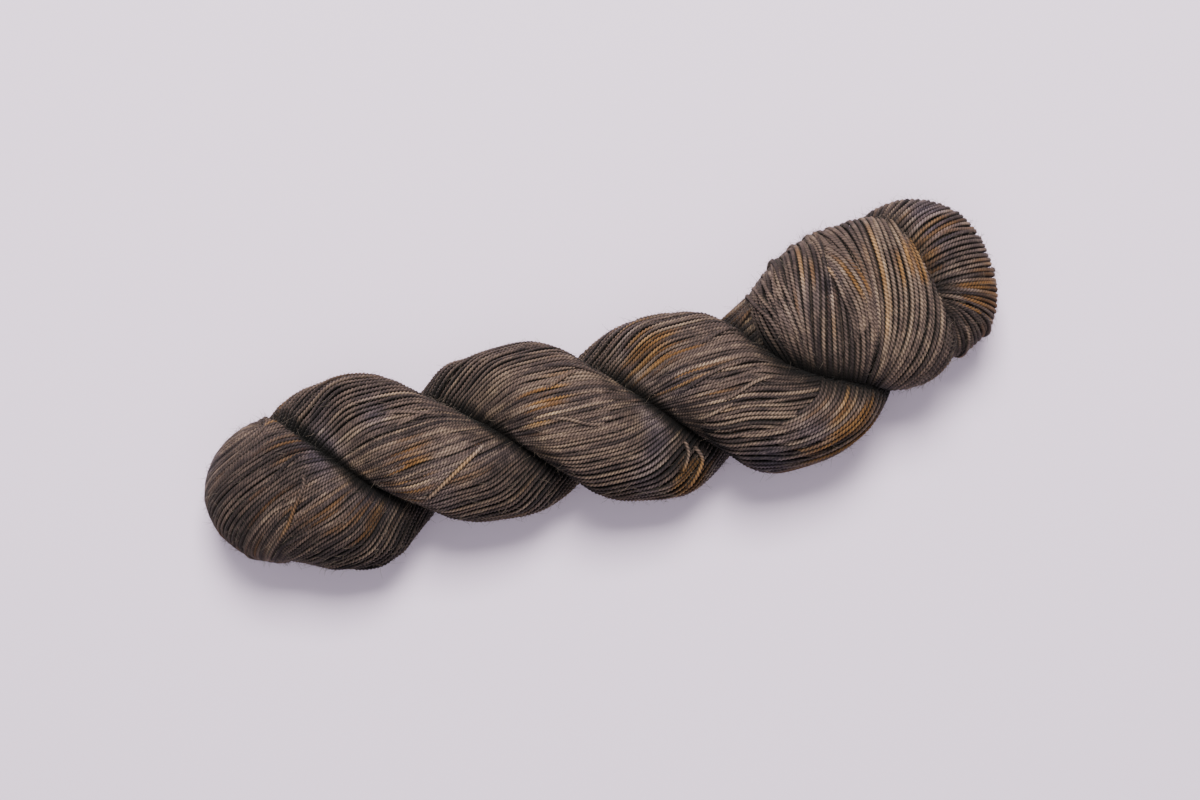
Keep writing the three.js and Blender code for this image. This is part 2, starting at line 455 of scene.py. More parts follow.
def strays(count, odds, reach, lift):
    """Which strands are crossed by another, and how far sideways and outwards that one goes."""
    t = np.linspace(0, 1, SAMPLES)[None, :]
    chosen = rng.random(count) < odds
    way = rng.choice([-1.0, 1.0], (count, 1)) * rng.uniform(0.5, 1.0, (count, 1))
    start = rng.uniform(*CROSSING_STARTS, (count, 1))
    length = rng.uniform(*CROSSING_LENGTHS, (count, 1))
    progress = np.clip((t - start) / length, 0, 1)
    sideways = way * reach * (smooth_step(progress) - 0.5)
    ends = 1 - np.clip(np.minimum(t - start, start + length - t) / CROSSING_END, -1, 1)
    raised = lift * np.sin(math.pi * progress) ** 0.5 - CROSSING_SINK * ends
    return chosen, sideways, raised


def uneven(count, reach, height, crossings):
    """Uneven offsets of strands, sideways and in height, with those of the crossing ones last.

    Also which strand each row starts from.
    """
    sideways, raised = wander(count, reach), wander(count, height)
    chosen, stray_side, stray_lift = strays(count, *crossings)
    order = np.concatenate([np.arange(count), np.flatnonzero(chosen)])
    sideways, raised = sideways[order], raised[order]
    sideways[count:] += stray_side[chosen]
    raised[count:] += stray_lift[chosen]
    return sideways, raised, order


def leg_labels(crown):
    """The labels of one leg's strands, from the first to the one that ends at the heel."""
    labels = [FIRST_LABEL]
    while True:
        near_fold = smooth_step((FOLD_LABELS - labels[-1]) / FOLD_LABELS_LENGTH)
        label = labels[-1] + LABEL_STEP + (FOLD_LABEL_STEP - LABEL_STEP) * near_fold
        if label > crown[-1] + LABEL_END:
            return np.array(labels)
        labels.append(label)


def leg_course(path, fold_path, is_upper, crown, wanted):
    """One strand's x and angle where it is wanted, its turn and place on the fold, and where it is."""
    from_crown = path - crown
    x = np.interp(-wanted, -from_crown, X_TABLE)
    beyond = wanted > from_crown[0]
    turn = np.where(beyond, FOLD_STRETCH * (wanted - from_crown[0]), 0)
    across = np.interp(turn, TURN_TABLE, fold_path)
    at_pole = np.maximum.accumulate(np.abs(fold_path) > FOLD_POLE)
    ended = np.interp(turn, TURN_TABLE, at_pole) > 0.5
    last_turn = math.pi if at_pole[-1] or is_upper else 0
    keep = (wanted >= from_crown[-1]) & (~beyond | (~ended & (turn < last_turn)))
    return x, np.interp(x, X_TABLE, path), turn, across, keep


def leg_family(leg):
    """Every strand of one leg from groove to groove, or on round the fold."""
    crown = winding(X_TABLE) + math.pi  # from the second leg's side, for both legs
    labels = leg_labels(crown)
    own = len(labels)
    shift, height, order = uneven(own, LEG_WANDER, LEG_UNEVEN, LEG_CROSSINGS)
    labels, paths = labels[order], leg_paths(labels)[order]
    wanted = GROOVE_END * (1 - 2 * np.linspace(0, 1, SAMPLES))  # from the crown, falls as x grows
    from_pole = (labels - math.pi * (1 - leg) - FOLD_ROLL) % (2 * math.pi)
    is_upper = from_pole < math.pi
    strands = zip(paths, fold_paths(from_pole % math.pi), is_upper)
    courses = [leg_course(*strand, crown, wanted) for strand in strands]
    x, angle, turn, across, keep = (np.stack(values) for values in zip(*courses))
    keep[own:] &= height[own:] > -CROSSING_SINK
    bend = HEEL_BEND * smooth_step((x - HEEL_BEND_X) / HEEL_BEND_LENGTH)
    angle = shift + angle - math.pi * (1 - leg) + bend
    off_crown = np.abs((wanted + bend + math.pi / 2) % math.pi - math.pi / 2)
    off_crown = np.where(np.abs(wanted) > off_crown, np.abs(wanted) * (bend < BENT), off_crown)
    plunge = smooth_step((off_crown - PLUNGE_START) / (GROOVE_END - PLUNGE_START))
    on_leg, out_leg = leg_point(x, angle, leg, STRAND_DEPTH - height + PLUNGE * plunge)
    pole = smooth_step((np.abs(across) - POLE_START) / POLE_LENGTH)
    depth = STRAND_DEPTH - height + POLE_SINK * pole
    on_fold, out_fold = fold_point(across - shift, turn, is_upper[:, None], depth)
    round_fold = turn > 0
    in_groove = smooth_step((off_crown - GROOVE_START) / (GROOVE_SHUT - GROOVE_START))
    shut_in = np.where(round_fold, POLE_SHADE * pole, in_groove)
    points = np.where(round_fold[..., None], on_fold, on_leg)
    outs = np.where(round_fold[..., None], out_fold, out_leg)
    # painted shade deep in the grooves and at the fold's poles, and a painted shadow on the legs
    # beside the band
    light = (1 - (1 - GROOVE_LIGHT) * shut_in) * light_beside(BAND, points)
    return Family(swelled(points, outs), outs, keep, light, len(order) - own)


# The band, the knob and the neck.
def cushion_reach(cushion, turn_deg):
    """How far a cushion's outline is from its middle, that way round it."""
    return smooth_value(cushion["reaches"], (turn_deg / REACH_STEP) % 8, circle=True)


def outline_point(cushion, turn_deg):
    turn = np.radians(turn_deg)
    way = np.stack([np.cos(turn), np.sin(turn)], -1)
    return np.array(cushion["middle"])[:2] + cushion_reach(cushion, turn_deg)[..., None] * way


def plan_share(cushion, offset):
    """How far out an offset from a cushion's middle is, as a share of its reach that way."""
    turn = np.degrees(np.arctan2(offset[..., 1], offset[..., 0]))
    return np.linalg.norm(offset[..., :2], axis=-1) / cushion_reach(cushion, turn)


def cushion_level(cushion, points):
    """A sum of two powers that is one on the cushion's skin and grows outwards."""
    offset = points - np.array(cushion["middle"])
    power = cushion["squareness"]
    rise = np.abs(offset[..., 2]) / cushion["half_height"]
    return plan_share(cushion, offset) ** power + rise**power


def within(cushion, plan):
    """Whether points in plan are within a cushion's outline, or as good as on it."""
    level = np.full(plan.shape[:2] + (1,), cushion["middle"][2])
    return cushion_level(cushion, np.concatenate([plan, level], -1)) < OUTLINE_LEVEL


def on_cushion(cushion, plan, below):
    """Points on a cushion's skin over (or below) points in plan, and the way out."""
    middle = np.array(cushion["middle"])
    power = cushion["squareness"]
    share = np.clip(plan_share(cushion, plan - middle[:2]), 0, 1)
    height = cushion["half_height"] * (1 - share**power) ** (1 / power)
    sign = np.where(below, -1.0, 1.0)
    point = np.concatenate([plan, (middle[2] + sign * height)[..., None]], -1)
    slope = []
    for step in 0.05 * np.eye(3):
        slope.append(cushion_level(cushion, point + step) - cushion_level(cushion, point - step))
    return point, unit(np.stack(slope, -1))


def light_beside(cushion, points):
    """The share of light at points outside a cushion, which shades what lies close to it."""
    past = cushion_level(cushion, points) ** (1 / cushion["squareness"]) - 1
    return BESIDE_LIGHT + (1 - BESIDE_LIGHT) * smooth_step(past / BESIDE_REACH)


def light_near(points, legs):
    """The share of light on the band, which falls close to where the legs come out of it."""
    others = np.concatenate([leg.points[:, ::4].reshape(-1, 3) for leg in legs])
    others = others[cushion_level(BAND, others) > 1]
    tree = KDTree(len(others))
    for k, place in enumerate(others):
        tree.insert(place, k)
    tree.balance()
    away = np.array([tree.find(place)[2] for place in points.reshape(-1, 3)])
    return NEAR_LIGHT + (1 - NEAR_LIGHT) * smooth_step(away.reshape(points.shape[:-1]) / NEAR_REACH)


def bezier(a, b, c, d, t):
    t = t[..., None]
    return (1 - t) ** 3 * a + 3 * (1 - t) ** 2 * t * b + 3 * (1 - t) * t**2 * c + t**3 * d


def even_rows(table, places, spacing):
    """Rows of a table, so many that strands are nowhere further apart than the spacing."""
    names = list(table)
    rows = np.stack([table[n] for n in names], -1).astype(float)
    fine = smooth_value(rows, np.linspace(0, len(rows) - 1, 600))
    fine = dict(zip(names, fine.T))
    step = np.linalg.norm(np.diff(places(fine), axis=0), axis=-1).max(1)
    run = np.concatenate([[0], np.cumsum(step)])
    wanted = np.linspace(0, run[-1], int(run[-1] / spacing))
    return {n: np.interp(wanted, run, fine[n]) for n in names}


def plan_point(rows, name):
    return np.stack([rows[name + "_x"], rows[name + "_y"]], -1)[:, None]


def slow_ends(t):
    return 0.5 - 0.5 * np.cos(math.pi * t)


def slow_end(t):
    return np.sin(0.5 * math.pi * t)


def band_plan(rows, t):
    far = outline_point(BAND, rows["far_turn"])[:, None]
    near = outline_point(BAND, rows["near_turn"])[:, None]
    return bezier(near, plan_point(rows, "lower"), plan_point(rows, "upper"), far, t)


def knob_plan(rows, t):
    start, bend = plan_point(rows, "start"), plan_point(rows, "bend")
    end = outline_point(KNOB, rows["end_turn"])[:, None]
    return bezier(start, (start + 2 * bend) / 3, (end + 2 * bend) / 3, end, t)


def cushion_family(cushion, table, plan_of, spaced_at, ease, size, crossings):
    """A cushion's strands, over the top and then back underneath.

    spaced_at has the shares of a strand at which the spacing is measured. ease puts its points
    closer together where it goes over the edge.
    """

    def places(rows):
        plan = plan_of(rows, np.array([spaced_at]))
        return on_cushion(cushion, plan, np.zeros(plan.shape[:2], bool))[0]

    rows = even_rows(table, places, size * STRAND_SPACING)
    count = len(next(iter(rows.values())))
    whole = np.linspace(0, 2, 2 * SAMPLES)[None, :]
    below = whole > 1
    t = ease(np.where(below, 2 - whole, whole))
    plan = plan_of(rows, np.repeat(t, count, 0))
    point, out = on_cushion(cushion, plan, np.repeat(below, count, 0))
    return below_skin(point, out, (crossings, *CUSHION_CROSSING), within(cushion, plan))


def neck_family():
    """Strands along the top and the sides of the neck."""
    count = int(NECK_SHARE * math.pi * NECK_HEIGHT / STRAND_SPACING)
    around = np.linspace(-1, 1, count)[:, None, None] * NECK_SIDE
    t = np.linspace(0, 1, SAMPLES)[None, :, None]
    way = NECK_STOP - NECK_START
    level = np.array([-way[1], way[0], 0]) / math.hypot(way[0], way[1])
    up = np.array([0.0, 0.0, 1.0])
    out = np.sin(around) * level + np.cos(around) * up + 0 * t
    skin = NECK_WIDTH * np.sin(around) * level + NECK_HEIGHT * np.cos(around) * up
    point = NECK_START + way * t + skin
    kept = np.ones(point.shape[:2], bool)
    return below_skin(point, out, (NECK_CROSSINGS, *CUSHION_CROSSING), kept)


def below_skin(point, out, crossings, kept):
    """A family a strand's depth below the skin, with uneven strands."""
    own, samples = point.shape[:2]
    across = unit(np.cross(np.gradient(point, axis=1), out))
    index = np.round(np.linspace(0, SAMPLES - 1, samples)).astype(int)
    sideways, height, order = uneven(own, CUSHION_WANDER, CUSHION_UNEVEN, crossings)
    sideways, height = sideways[:, index, None], height[:, index, None]
    point, out, across, kept = point[order], out[order], across[order], kept[order]
    moved = point + across * sideways - out * (STRAND_DEPTH - height)
    kept[own:] &= height[own:, :, 0] > -CROSSING_SINK
    return Family(moved, out, kept, np.ones(moved.shape[:2]), len(order) - own)


# From strands to tubes.
def solid_tree():
    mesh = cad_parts[HANK_NODE].data
    points = [v.co / MM for v in mesh.vertices]
    return BVHTree.FromPolygons(points, [tuple(p.vertices) for p in mesh.polygons])


def thin_out(points, outs, size):
    """Sinks every second strand, then every fourth and so on, where strands bunch too closely."""
    count = len(points)
    ahead = unit(np.gradient(points, axis=1))
    step = np.empty_like(points)
    step[:-1] = points[1:] - points[:-1]
    step[-1] = step[-2]
    step -= (step * ahead).sum(-1, keepdims=True) * ahead
    spacing = np.linalg.norm(step, axis=-1)
    spacing = 0.5 * (spacing + np.concatenate([spacing[:1], spacing[:-1]]))
    index = np.arange(1, count + 1)
    level = np.zeros(count)
    for k in range(1, MOST_HALVINGS):
        level[index % 2**k == 0] = k
    room = spacing * 2.0 ** level[:, None] * rng.uniform(*ROOM_SPREAD, (count, 1))
    bunched = (size * LEAST_SPACING - room) / (BUNCHED_SHARE * LEAST_SPACING)
    sink = SINK * smooth_step(bunched)
    return points - outs * sink[..., None], sink


def depths(tree, points):
    """How far inside the solid each point of a strand is, or less than nothing if outside."""
    seen = np.append(np.arange(0, len(points) - 1, 4), len(points) - 1)
    found = []
    for k in seen:
        place, normal, _, distance = tree.find_nearest(Vector(points[k]))
        inside = (Vector(points[k]) - place).dot(normal) < 0
        found.append(distance if inside else -distance)
    return np.interp(np.arange(len(points)), seen, found)


def runs(keep):
    """First and last index of each unbroken stretch that is kept."""
    edges = np.flatnonzero(np.diff(np.concatenate([[0], keep.astype(int), [0]])))
    return list(zip(edges[::2], edges[1::2] - 1))


def resample(points, outs, light, top_step, under_step):
    """Points along one strand, top_step apart where it can be seen and under_step underneath."""
    run = run_of(points)
    if run[-1] < SHORTEST_RUN:
        return None
    fine = np.linspace(0, run[-1], max(8, int(run[-1] / FINE_STEP)))
    facing = np.interp(fine, run, outs[:, 2])
    underneath = smooth_step((HIDDEN_FACING - facing) / -HIDDEN_FACING)
    density = 1 / (top_step + (under_step - top_step) * underneath)
    gaps = np.diff(fine) * (density[1:] + density[:-1]) / 2
    counted = np.concatenate([[0], np.cumsum(gaps)])
    count = max(4, int(round(counted[-1])) + 1)
    places = np.interp(np.linspace(0, counted[-1], count), counted, fine)
    even = np.stack([np.interp(places, run, points[:, k]) for k in range(3)], -1)
    even_out = np.stack([np.interp(places, run, outs[:, k]) for k in range(3)], -1)
    for _ in range(2):
        even[1:-1] = (even[:-2] + 2 * even[1:-1] + even[2:]) / 4
    return even, even_out, np.interp(places, run, light), places


def openness(tree, points, outs):
    """How open to the light the skin is near each point: the share of ways out that meet no yarn."""
    seen = np.arange(0, len(points), 5)
    found = []
    for point, out in zip(points[seen], outs[seen]):
        out = Vector(out)
        side = out.orthogonal().normalized()
        start = Vector(point) + RAY_START * out
        free = 0
        for up, one, other in RAY_WAYS:
            way = up * out + one * side + other * out.cross(side)
            free += tree.ray_cast(start, way, RAY_LENGTH)[0] is None
        found.append(free / len(RAY_WAYS))
    return np.interp(np.arange(len(points)), seen, found)


def before_going_under(places, depth):
    """The share of light on a strand, which falls just before it goes under other strands."""
    under = places[depth > UNDER_FROM]
    if len(under) == 0:
        return np.ones(len(places))
    away = np.abs(places[:, None] - under[None, :]).min(1)
    return UNDER_LIGHT + (1 - UNDER_LIGHT) * smooth_step(away / UNDER_REACH)


def visible_runs(strand, keep, tree, radius, steps, in_groove):
    """The stretches of one strand that show, ready for tubes of that radius."""
    made = []
    for first, last in runs(keep):
        if last - first < 4:
            continue
        stretch = [values[first : last + 1] for values in strand]
        found = resample(*stretch, *steps)
        if found is None:
            continue
        even, even_out, light, places = found
        even[:, 2] = np.maximum(even[:, 2], radius + FLOOR_GAP)
        depth = depths(tree, even)
        is_groove = in_groove & (even[:, 0] < NECK_X)
        for a, b in runs(depth < np.where(is_groove, GROOVE_HIDDEN_DEPTH, HIDDEN_DEPTH)):
            if places[b] - places[a] > SHORTEST_RUN:
                part = slice(a, b + 1)
                # painted shade where other yarn shuts out the light, and just before a strand goes
                # under others
                free = openness(tree, even[part], even_out[part])
                lit = light[part] * (SHUT_LIGHT + (1 - SHUT_LIGHT) * free**OPEN_POWER)
                lit *= np.where(is_groove, 1, before_going_under(places, depth))[part]
                made.append((even[part], even_out[part], lit, radius))
    return made


def strands_of(family, tree, size, in_groove):
    """One family's strands that show, and the plainer ones between and below them."""
    points, outs, keep, light, extra = family
    count = len(points) - extra
    sink = np.zeros(points.shape[:2])
    points[:count], sink[:count] = thin_out(points[:count], outs[:count], size)
    # painted shade on strands that sink under their neighbours
    light = light * (1 - (1 - SUNK_LIGHT) * sink / SINK)
    shown, below = [], []
    steps = (size * RING_STEP, size * HIDDEN_STEP)
    for k in range(len(points)):
        radius = size * STRAND_RADIUS * rng.uniform(*STRAND_SIZES)
        kept = keep[k] & (sink[k] < SUNK_SHARE * SINK)
        strand = (points[k], outs[k], light[k])
        shown += visible_runs(strand, kept, tree, radius, steps, in_groove)
    steps = (UNDER_STEP, 2 * UNDER_STEP)
    for k in range(count - 1):
        middle = (points[k] + points[k + 1]) / 2 - UNDER_DEPTH * outs[k]
        near = np.linalg.norm(points[k] - points[k + 1], axis=1) < UNDER_APART
        kept = keep[k] & keep[k + 1] & near & (outs[k][:, 2] > UNDER_FACING)
        strand = (middle, outs[k], light[k])
        below += visible_runs(strand, kept, tree, UNDER_RADIUS, steps, in_groove)
    return shown, below


def laid_over(tree, plan, reach=1.0, from_band=False):
    """A strand that lies over the others, along part of a way in plan, and sinks in at its ends."""
    plan = np.array(plan, float)
    way = smooth_value(plan, np.linspace(0, reach * (len(plan) - 1), OVER_SAMPLES))
    last = OVER_SAMPLES - 1
    points, outs = [], []
    for k, (x, y) in enumerate(way):
        place, normal, _, _ = tree.ray_cast(Vector((x, y, ABOVE)), Vector((0, 0, -1)))
        if place is None:
            continue
        sunk = 1 - min(1, k / OVER_END, (last - k) / OVER_END)
        rise = OVER_LIFT * math.sin(math.pi * k / last) ** 0.6 - OVER_SINK * sunk
        points.append(np.array(place) + (rise - STRAND_DEPTH) * np.array(normal))
        outs.append(np.array(normal))
    outs = np.array(outs)
    points = swelled(np.array(points), outs)
    for _ in range(3):
        outs[1:-1] = (outs[:-2] + outs[1:-1] + outs[2:]) / 3
    step = OVER_SIZE * RING_STEP
    light = light_beside(BAND, points) if from_band else np.ones(len(points))
    even, even_out, light, _ = resample(points, outs, light, step, step)
    return even, even_out, light, OVER_SIZE * STRAND_RADIUS


def all_laid_over(tree):
    """The single strands and the bundles that lie across the others, and their tones."""
    over = [laid_over(tree, plan) for plan in STRAYS]
    tones = list(STRAY_TONES)
    for first, last, count, from_band in BUNDLES:
        for k in range(count):
            share = k / (count - 1)
            spread = k * SPREAD_STEP % 1
            plan = (1 - share) * np.array(first) + share * np.array(last)
            reach = np.interp(spread * 7 % 1, (0, 1), BUNDLE_REACHES) if from_band else 1.0
            over.append(laid_over(tree, plan, reach, from_band))
            tones.append(np.interp(spread, (0, 1), BUNDLE_TONES))
    return over, tones


def loose_fibres(strands):
    """Short hairs that stand out from the strands that can be seen."""
    lengths = np.array([len(s[0]) for s in strands], float)
    hairs = []
    for strand in rng.choice(len(strands), HAIR_TRIES, p=lengths / lengths.sum()):
        points, outs, light, radius = strands[strand]
        k = int(rng.integers(1, len(points) - 1))
        if outs[k][2] < HAIR_LOWEST or light[k] < HAIR_DARKEST:
            continue
        if outs[k][2] > 0.5 and rng.random() < TOP_THINNING:
            continue
        ahead = unit(points[k + 1] - points[k - 1])
        side = np.cross(ahead, outs[k])
        lift = rng.uniform(-HAIR_LEAN, HAIR_LEAN)
        away = outs[k] * math.cos(lift) + side * math.sin(lift)
        along = ahead * rng.choice([-1.0, 1.0]) * rng.uniform(*HAIR_AHEAD)
        way = along + away * rng.uniform(*HAIR_OUT) + side * rng.normal(0, HAIR_ACROSS)
        way /= np.linalg.norm(way)
        curl = rng.normal(0, HAIR_CURL, 3) - HAIR_RETURN * away
        length = rng.uniform(*HAIR_LENGTHS)
        t = np.linspace(0, 1, HAIR_RINGS)[:, None]
        path = points[k] + away * radius * HAIR_ROOT + length * (way * t + curl * t**2 * HAIR_BEND)
        path[:, 2] = np.maximum(path[:, 2], HAIR_RADIUS + FLOOR_GAP)
        radii = HAIR_RADIUS * (1 - HAIR_TAPER * t[:, 0])
        hairs.append((path, np.repeat(away[None], HAIR_RINGS, 0), None, radii))
    return hairs


# From tubes to pieces.
def rings(points, outs, sides, start, turned):
    """Ways out to each corner of a ring round every point. Each ring is turned from the last."""
    ahead = unit(np.gradient(points, axis=0))
    out = unit(outs - (outs * ahead).sum(1, keepdims=True) * ahead)
    side = np.cross(ahead, out)
    around = 2 * math.pi * np.arange(sides) / sides
    angle = start + around[None, :] - turned * np.arange(len(points))[:, None]
    return out[:, None] * np.cos(angle)[..., None] + side[:, None] * np.sin(angle)[..., None]


def ring_quads(count, sides):
    """Four-cornered faces between rings of evenly many corners, and over both ends."""
    grid = np.arange(count * sides).reshape(count, sides)
    after = np.roll(grid, -1, axis=1)
    quads = np.stack([grid[:-1], after[:-1], after[1:], grid[1:]], -1).reshape(-1, 4)
    strips = np.arange(sides // 2 - 1)
    cap = np.stack([sides - 1 - strips, sides - 2 - strips, strips + 1, strips], -1)
    return np.concatenate([quads, cap, cap[:, ::-1] + (count - 1) * sides])


def tube(points, outs, light, radius):
    """A strand of several plies: rings of crests and valleys that turn as they go."""
    ring = rings(points, outs, SIDES, rng.uniform(0, 2 * math.pi), 2 * math.pi / SIDES)
    crest = (np.arange(SIDES) % 2 == 0).astype(float)
    reach = radius * np.where(crest > 0, 1.0, VALLEY_SHARE)
    verts = points[:, None] + ring * reach[None, :, None]
    # painted highlight on the crests, painted shade in the valleys between the plies and on the sides
    # of the strand that face away from the skin's way out
    rise = (ring * outs[:, None]).sum(-1)
    facing = smooth_step((rise - SIDE_FACING) / SIDE_FACING_SPAN)
    facing = SIDE_LIGHT + (1 - SIDE_LIGHT) * facing
    lit = (VALLEY_LIGHT + (CREST_LIGHT - VALLEY_LIGHT) * crest) * facing * light[:, None]
    return verts.reshape(-1, 3), ring_quads(len(points), SIDES), lit.ravel()


def plain_tube(points, outs, radii, sides=4):
    ring = rings(points, outs, sides, rng.uniform(0, 2 * math.pi), 0.0)
    verts = points[:, None] + ring * np.broadcast_to(radii, len(points))[:, None, None]
    return verts.reshape(-1, 3), ring_quads(len(points), sides)


def strand_uvs(count, low, high):
    """Each strand's own strip of the map: along it one way and round it the other."""
    u = np.linspace(low[0], high[0], count)
    v = np.linspace(low[1], high[1], SIDES + 1)
    grid = np.stack(np.meshgrid(u, v, indexing="ij"), -1)
    body = np.stack([grid[:-1, :-1], grid[:-1, 1:], grid[1:, 1:], grid[1:, :-1]], 2)
    tiny = 0.2 * (v[1] - v[0])
    caps = []
    for end in (u[0] - 3 * tiny, u[-1] + tiny):
        for k in range(SIDES // 2 - 1):
            corner = np.array([[0, 0], [1, 0], [1, 1], [0, 1]]) * tiny
            caps.append(corner + (end, v[0] + 2.2 * k * (v[1] - v[0])))
    return np.concatenate([body.reshape(-1, 2), *caps])


def piece_of(name, verts, faces, material):
    """A smooth piece from lists of arrays: corners in millimetres, and faces, for each part of it."""
    bases = np.cumsum([0] + [len(v) for v in verts[:-1]])
    faces = np.concatenate([f + base for f, base in zip(faces, bases)])
    mesh = bpy.data.meshes.new(name)
    mesh.from_pydata((np.concatenate(verts) * MM).tolist(), [], faces.tolist())
    mesh.polygons.foreach_set("use_smooth", np.ones(len(faces), bool))
    mesh.materials.append(material)
    piece = bpy.data.objects.new(name, mesh)
    bpy.context.scene.collection.objects.link(piece)
    return piece


def set_attribute(piece, name, values):
    layer = piece.data.attributes.new(name, "FLOAT", "POINT")
    layer.data.foreach_set("value", np.concatenate(values).astype(np.float32))


def strand_piece(name, strands, material, tones=None):
    """Many strands joined in one piece, each of its own tone unless they are given."""
    columns = 2
    rows = math.ceil(len(strands) / columns)
    parts = []
    for k, (points, outs, light, radius) in enumerate(strands):
        verts, quads, lit = tube(points, outs, light, radius)
        row, column = k // columns, k % columns
        low = ((column + 0.02) / columns, (row + 0.1) / rows)
        high = ((column + 0.98) / columns, (row + 0.9) / rows)
        uvs = strand_uvs(len(points), low, high)
        along = np.repeat(run_of(points) * MM, SIDES)
        tone = rng.random() if tones is None else tones[k]
        parts.append((verts, quads, uvs, along, np.full(len(verts), tone), lit))
    verts, quads, uvs, along, strand, light = zip(*parts)
    piece = piece_of(name, verts, quads, material)
    layer = piece.data.uv_layers.new(name="OFBake")
    layer.data.foreach_set("uv", np.concatenate(uvs).astype(np.float32).ravel())
    set_attribute(piece, "along", along)
    set_attribute(piece, "strand", strand)
    set_attribute(piece, "light", light)
    return piece


def tube_piece(name, tubes, material):
    """Many plain tubes joined in one piece."""
    parts = []
    for points, outs, _, radii in tubes:
        verts, quads = plain_tube(points, outs, radii)
        parts.append((verts, quads, np.full(len(verts), rng.random())))
    verts, quads, strand = zip(*parts)
    piece = piece_of(name, verts, quads, material)
    set_attribute(piece, "strand", strand)
    return piece


def core_piece(material):
    """The yarn further in, which shows only between the strands, coloured near black as painted shade.
    """
    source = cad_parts[HANK_NODE].data
    corners = np.array([v.co for v in source.vertices]) / MM
    rounded = np.round(corners, 2)
    _, first, index = np.unique(rounded, axis=0, return_index=True, return_inverse=True)
    points = corners[first]
    faces = index.ravel()[np.array([tuple(p.vertices) for p in source.polygons])]
    a, b, c = faces.T
    faces = faces[(a != b) & (b != c) & (c != a)]
    a, b, c = (points[faces[:, k]] for k in range(3))
    facing = np.cross(b - a, c - a)
    out = np.zeros_like(points)
    for k in range(3):
        np.add.at(out, faces[:, k], facing)
    x = np.clip(points[:, 0], FOLD_X, LEG_END)
    up = (points[:, 2] - AXIS_HEIGHT) / HEIGHT_SHARE
    angle = np.arctan2(up, points[:, 1] - axis_value("side", x))
    in_groove = np.abs(np.sin(angle - winding(x))) ** GROOVE_SHARPNESS
    in_groove *= smooth_step((HEEL_X - points[:, 0]) / 10)
    inner = points - unit(out) * (CORE_DEPTH + GROOVE_CORE_DEPTH * in_groove)[:, None]
    return piece_of("yarn_core", [inner], [faces], material)


# Materials. Where the yarn has more of a colour, or less: a place, how far round it, and how much.
GOLD_PLACES = [
    (16, 15, 43, 16, 0.24),
    (32, 16, 44, 16, 0.22),
    (82, -28, 38, 16, 0.18),
    (-22, 3, 46, 14, 0.15),
    (-67, 3, 46, 16, 0.13),
    (-57, -20, 36, 12, 0.14),
    (104, 0, 50, 12, 0.14),
    (118, 18, 46, 14, 0.26),
    (68, 12, 40, 14, 0.15),
    (126, 27, 40, 14, 0.24),
    (136, 3, 34, 14, 0.22),
    (-112, -6, 44, 14, 0.02),
    (-88, -22, 38, 12, 0.14),
    (22, -33, 28, 12, 0.5),
    (54, 15, 30, 14, 0.3),
    (-122, 10, 38, 18, -0.22),
    (-56, -12, 40, 12, 0.1),
]
# These make the yarn darker near them, or lighter where the amount is below nothing.
DARK_PLACES = [
    (132, 14, 32, 34, 0.08),
    (-95, -26, 30, 26, 0.06),
    (-132, -12, 26, 26, 0.09),
    (-122, 8, 40, 30, 0.08),
    (-110, -32, 30, 22, 0.07),
    (52, -30, 28, 22, 0.07),
    (-93, 22, 34, 22, -0.02),
    (-105, 5, 44, 13, 0.1),
    (86, 18, 50, 5, 0.2),
    (-43, 19, 38, 22, -0.06),
    (10, 19, 38, 20, -0.06),
    (-68, 2, 44, 26, 0.02),
    (-94, 8, 38, 20, -0.05),
    (4, -14, 42, 34, -0.065),
    (88, 12, 50, 34, -0.035),
    (46, -8, 44, 30, -0.03),
]
COOL_PLACES = [
    (7, -20, 40, 22, 0.2),
    (5, 16, 40, 14, 0.1),
    (46, -29, 36, 18, 0.2),
    (92, 12, 50, 26, 0.12),
    (60, 2, 44, 20, 0.08),
    (125, 15, 36, 26, -0.12),
    (-128, 2, 38, 26, -0.12),
    (-81, 10, 44, 14, 0.12),
]
PLACE_CORE = 0.2  # share of its reach within which a place has all of its amount

# The dye's colours, from where it is darkest to where it is lightest.
NEUTRAL_STOPS = [
    (0.20, (0.012, 0.008, 0.009)),
    (0.38, (0.037, 0.025, 0.023)),
    (0.52, (0.093, 0.062, 0.050)),
    (0.66, (0.200, 0.137, 0.097)),
    (0.86, (0.410, 0.290, 0.175)),
]
GOLDEN_STOPS = [
    (0.25, (0.038, 0.016, 0.007)),
    (0.50, (0.140, 0.066, 0.022)),
    (0.82, (0.370, 0.205, 0.078)),
]
GOLDEN_FROM = (1.06, 1.3)
WHITE = (1.0, 1.0, 1.0, 1.0)
COOLER = (0.86, 0.97, 1.45, 1.0)  # what the colour is multiplied by
COOLER_FROM = (0.52, 0.74)
# painted shade: the strands of the layer below, seen only in gaps, are coloured dark
BELOW_STOPS = [(0.35, (0.012, 0.008, 0.007)), (0.7, (0.050, 0.035, 0.027))]
FIBRE_STOPS = [(0.0, (0.05, 0.04, 0.035)), (1.0, (0.20, 0.155, 0.12))]
# painted shade: the core is coloured near black, as it lies in shade between the strands
CORE_STOPS = [(0.4, (0.008, 0.006, 0.006)), (0.7, (0.035, 0.027, 0.024))]
YARN_FINISH = {
    "Roughness": 0.8,
    "Specular IOR Level": 0.15,
    "Sheen Weight": 0.05,
    "Sheen Roughness": 0.5,
    "Sheen Tint": (0.75, 0.68, 0.62, 1.0),
}
CORE_FINISH = {"Roughness": 0.95, "Specular IOR Level": 0.1}
MIX_A, MIX_B, MIX_RESULT = 6, 7, 2  # the sockets of a mix node that are colours


def new_material(name, finish, colour_of=None):
    """A material with one shader of that finish, coloured by a function of its node tree."""
    material = bpy.data.materials.new(name)
    material.use_nodes = True
    tree = material.node_tree
    tree.nodes.clear()
    colour = {"Base Color": colour_of(tree)} if colour_of else {}
    add_node(tree, "OutputMaterial", {0: add_node(tree, "BsdfPrincipled", finish | colour)}, None)
    return material


